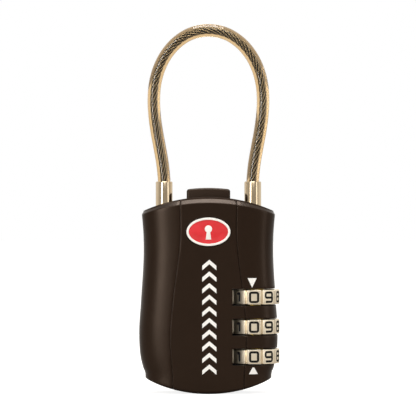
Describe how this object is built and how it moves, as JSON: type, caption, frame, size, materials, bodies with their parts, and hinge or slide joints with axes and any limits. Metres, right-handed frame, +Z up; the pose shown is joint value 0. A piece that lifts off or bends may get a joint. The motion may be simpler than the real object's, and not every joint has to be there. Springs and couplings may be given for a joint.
{
  "type": "cable luggage lock",
  "caption": "Combination luggage lock: an oval waisted case with code dials at one edge, a push button, and a clear-coated steel cable loop.",
  "frame": {"origin": "centre of the case's width and depth, at its lowest point", "axes": "+Z up through the cable loop, -Y the front face with the badge, +X the side with the code dials"},
  "size_m": [0.032, 0.0131, 0.0839],
  "materials": {
    "case_coat": "satin black-brown powder coat on die-cast zinc",
    "button_plastic": "fine satin moulded ABS",
    "dial_nickel": "satin nickel plate with black inked numbers",
    "ferrule_nickel": "polished nickel plate",
    "cable_steel": "galvanised stranded wire",
    "cable_jacket": "clear amber extruded PVC",
    "badge_white": "white enamel",
    "badge_red": "domed red enamel",
    "inner_steel": "stamped zinc-plated steel",
    "spring_steel": "spring steel",
    "lock_brass": "turned brass"
  },
  "bodies": {
    "casing": {"front_shell": "case_coat", "rear_shell": "case_coat", "case_pin_1": "inner_steel", "case_pin_2": "inner_steel", "case_pin_3": "inner_steel", "case_pin_4": "inner_steel", "badge_plate": "badge_white", "badge_enamel": "badge_red", "cable_jacket": "cable_jacket", "cable_core": "cable_steel", "fixed_ferrule": "ferrule_nickel", "ejector_spring": "spring_steel", "button_spring": "spring_steel", "cable_catch": "spring_steel", "spindle_spring": "spring_steel", "detent_spring": "spring_steel", "key_sleeve": "lock_brass"},
    "button": {"release_button": "button_plastic", "gate_bar": "inner_steel"},
    "cable_free_end": {"free_ferrule": "ferrule_nickel"},
    "lower_dial": {"dial_1": "dial_nickel"},
    "middle_dial": {"dial_2": "dial_nickel"},
    "upper_dial": {"dial_3": "dial_nickel"},
    "reset_spindle": {"spindle": "inner_steel", "spindle_clip": "spring_steel"},
    "lower_sleeve": {"clutch_sleeve_1": "lock_brass"},
    "middle_sleeve": {"clutch_sleeve_2": "lock_brass"},
    "upper_sleeve": {"clutch_sleeve_3": "lock_brass"},
    "key_cylinder": {"key_plug": "lock_brass", "key_wafer_1": "lock_brass", "key_wafer_2": "lock_brass", "key_wafer_3": "lock_brass", "key_wafer_4": "lock_brass", "key_tail": "inner_steel"}
  },
  "joints": [
    {"name": "button_press", "type": "slide", "parent": "casing", "child": "button", "axis": [0, 0, 1], "range_m": [-0.0013, 0], "stiffness_N_per_m": 500, "springref_m": 0.001, "deforming": ["button_spring"]},
    {"name": "cable_pull", "type": "slide", "parent": "casing", "child": "cable_free_end", "axis": [0, 0, 1], "range_m": [0, 0.014], "deforming": ["cable_jacket", "cable_core", "cable_catch", "ejector_spring"]},
    {"name": "lower_dial_turn", "type": "hinge", "parent": "casing", "child": "lower_dial", "pos_m": [0.0103, 0, 0.00837], "axis": [0, 0, 1], "continuous": true, "deforming": ["detent_spring"]},
    {"name": "middle_dial_turn", "type": "hinge", "parent": "casing", "child": "middle_dial", "pos_m": [0.0103, 0, 0.0151], "axis": [0, 0, 1], "continuous": true},
    {"name": "upper_dial_turn", "type": "hinge", "parent": "casing", "child": "upper_dial", "pos_m": [0.0103, 0, 0.02183], "axis": [0, 0, 1], "continuous": true},
    {"name": "reset_push", "type": "slide", "parent": "casing", "child": "reset_spindle", "axis": [0, 0, -1], "range_m": [-0.0014, 0], "stiffness_N_per_m": 800, "springref_m": 0.001, "deforming": ["spindle_spring"]},
    {"name": "lower_sleeve_spin", "type": "hinge", "parent": "reset_spindle", "child": "lower_sleeve", "pos_m": [0.0103, 0, 0.00837], "axis": [0, 0, 1], "continuous": true},
    {"name": "middle_sleeve_spin", "type": "hinge", "parent": "reset_spindle", "child": "middle_sleeve", "pos_m": [0.0103, 0, 0.0151], "axis": [0, 0, 1], "continuous": true},
    {"name": "upper_sleeve_spin", "type": "hinge", "parent": "reset_spindle", "child": "upper_sleeve", "pos_m": [0.0103, 0, 0.02183], "axis": [0, 0, 1], "continuous": true},
    {"name": "key_turn", "type": "hinge", "parent": "casing", "child": "key_cylinder", "pos_m": [-0.0079, 0, 0.007], "axis": [0, 0, 1], "range_deg": [0, 90]}
  ],
  "couplings": [
    {"joint": "lower_sleeve_spin", "follows": "lower_dial_turn", "ratio": 1},
    {"joint": "middle_sleeve_spin", "follows": "middle_dial_turn", "ratio": 1},
    {"joint": "upper_sleeve_spin", "follows": "upper_dial_turn", "ratio": 1}
  ]
}
